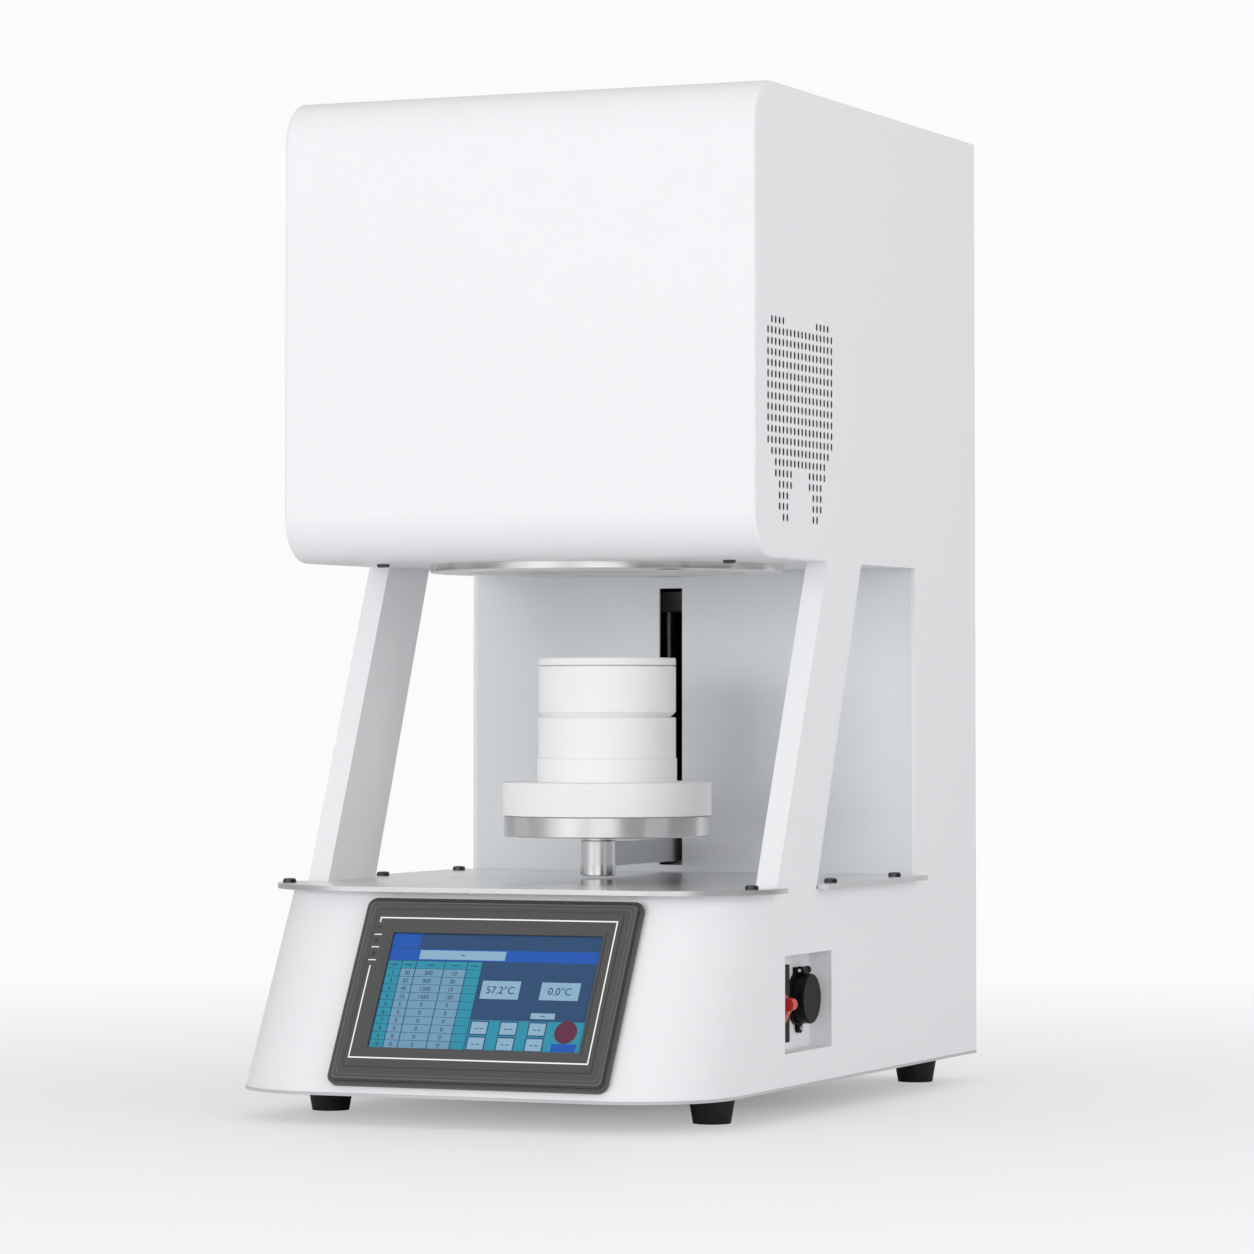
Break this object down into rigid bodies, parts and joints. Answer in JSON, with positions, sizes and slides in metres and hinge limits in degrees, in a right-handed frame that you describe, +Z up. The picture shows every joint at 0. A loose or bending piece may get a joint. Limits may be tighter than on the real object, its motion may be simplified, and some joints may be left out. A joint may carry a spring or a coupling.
{
  "type": "dental lab furnace",
  "caption": "Bench-top bottom-loading sintering furnace: tall head on slanted legs, a lift that raises stacked crucibles into a hot chamber, and a slanted touch panel.",
  "frame": {"origin": "centre of the overall box, on the floor under the feet", "axes": "+Z up; the front with the touch panel faces -Y; +X to the right seen from the front, the side with the switch niche"},
  "size_m": [0.379, 0.5732, 0.714],
  "materials": {
    "white_paint": "fine satin powder coat",
    "grey_paint": "matt paint",
    "floor_steel": "galvanised sheet",
    "foot_rubber": "matt",
    "deck_steel": "brushed across",
    "flange_steel": "turned",
    "tray_steel": "turned",
    "casing_steel": "rolled sheet",
    "dark_screw": "black oxide",
    "bright_screw": "bright",
    "post_steel": "polished",
    "shaft_steel": "ground",
    "arm_grey": "matt",
    "drive_aluminium": "machined",
    "nut_brass": "turned",
    "fibre_white": "pressed ceramic fibre",
    "ceramic_white": "fired alumina",
    "heater_grey": "glazed",
    "strap_aluminium": "braided",
    "probe_ceramic": "fired",
    "bezel_plastic": "satin",
    "screen_glass": "glossy",
    "gasket_rubber": "matt",
    "housing_plastic": "matt",
    "switch_plastic": "glossy",
    "lever_plastic": "glossy",
    "fan_plastic": "matt",
    "gland_plastic": "matt",
    "core_steel": "lacquered",
    "board_green": "lacquered",
    "block_plastic": "matt"
  },
  "bodies": {
    "cabinet": {"base_floor": "floor_steel", "base_shell": "white_paint", "bearing_blocks": "drive_aluminium", "breaker_body": "switch_plastic", "cabinet_screws": "dark_screw", "cable_gland": "gland_plastic", "casing_top": "casing_steel", "chamber_casing": "casing_steel", "chamber_flange": "flange_steel", "controller_board": "board_green", "deck_plate": "deck_steel", "deck_screws": "dark_screw", "element_holders": "ceramic_white", "fan_frame": "fan_plastic", "flange_screws": "bright_screw", "guide_shafts": "shaft_steel", "head_wrap": "white_paint", "heat_sink": "drive_aluminium", "heating_elements": "heater_grey", "hinge_pin": "bright_screw", "inner_back_panel": "grey_paint", "insulation_floor": "fibre_white", "insulation_roof": "fibre_white", "insulation_wall": "fibre_white", "left_side_frame": "white_paint", "lift_frame": "casing_steel", "lift_motor": "core_steel", "motor_plate": "casing_steel", "niche_box": "white_paint", "panel_bezel": "bezel_plastic", "panel_clamps": "housing_plastic", "panel_gasket": "gasket_rubber", "panel_housing": "housing_plastic", "power_straps": "strap_aluminium", "power_supply": "housing_plastic", "rear_cover": "white_paint", "right_side_frame": "white_paint", "rubber_feet": "foot_rubber", "socket_flange": "switch_plastic", "socket_screw": "bright_screw", "terminal_block": "block_plastic", "thermocouple": "probe_ceramic", "touch_screen": "screen_glass", "transformer": "core_steel", "vent_panels": "white_paint"},
    "lift": {"lift_carriage": "drive_aluminium", "lift_nut": "nut_brass", "lift_arm": "arm_grey", "lift_post": "post_steel", "hearth_tray": "tray_steel", "hearth_disc": "fibre_white", "crucible_step": "ceramic_white"},
    "drive_screw": {"lead_screw": "shaft_steel", "shaft_coupling": "drive_aluminium"},
    "lower_tier": {"lower_crucible": "ceramic_white"},
    "upper_tier": {"upper_crucible": "ceramic_white"},
    "lid": {"crucible_lid": "ceramic_white"},
    "switch_lever": {"breaker_lever": "lever_plastic"},
    "plug_cap": {"socket_cap": "switch_plastic"},
    "rotor": {"fan_rotor": "fan_plastic"}
  },
  "joints": [
    {"name": "lift_slide", "type": "slide", "parent": "cabinet", "child": "lift", "axis": [0, 0, 1], "range_m": [0, 0.1503]},
    {"name": "screw_turn", "type": "hinge", "parent": "cabinet", "child": "drive_screw", "pos_m": [-0.016, 0.1965, 0.096], "axis": [0, 0, -1], "range_deg": [0, 5411]},
    {"name": "lower_tier_lift", "type": "slide", "parent": "lift", "child": "lower_tier", "axis": [0, 0, 1], "range_m": [0, 0.02]},
    {"name": "upper_tier_lift", "type": "slide", "parent": "lower_tier", "child": "upper_tier", "axis": [0, 0, 1], "range_m": [0, 0.02]},
    {"name": "lid_lift", "type": "slide", "parent": "upper_tier", "child": "lid", "axis": [0, 0, 1], "range_m": [0, 0.02]},
    {"name": "switch_tilt", "type": "hinge", "parent": "cabinet", "child": "switch_lever", "pos_m": [0.168, -0.1075, 0.0776], "axis": [0, -1, 0], "range_deg": [0, 38]},
    {"name": "cap_swing", "type": "hinge", "parent": "cabinet", "child": "plug_cap", "pos_m": [0.1687, -0.0595, 0.0988], "axis": [0, -1, 0], "range_deg": [0, 95]},
    {"name": "fan_spin", "type": "hinge", "parent": "cabinet", "child": "rotor", "pos_m": [0.092, 0.259, 0.0895], "axis": [0, 1, 0], "continuous": true}
  ],
  "couplings": [
    {"joint": "screw_turn", "follows": "lift_slide", "rad_per_m": 628.32}
  ]
}
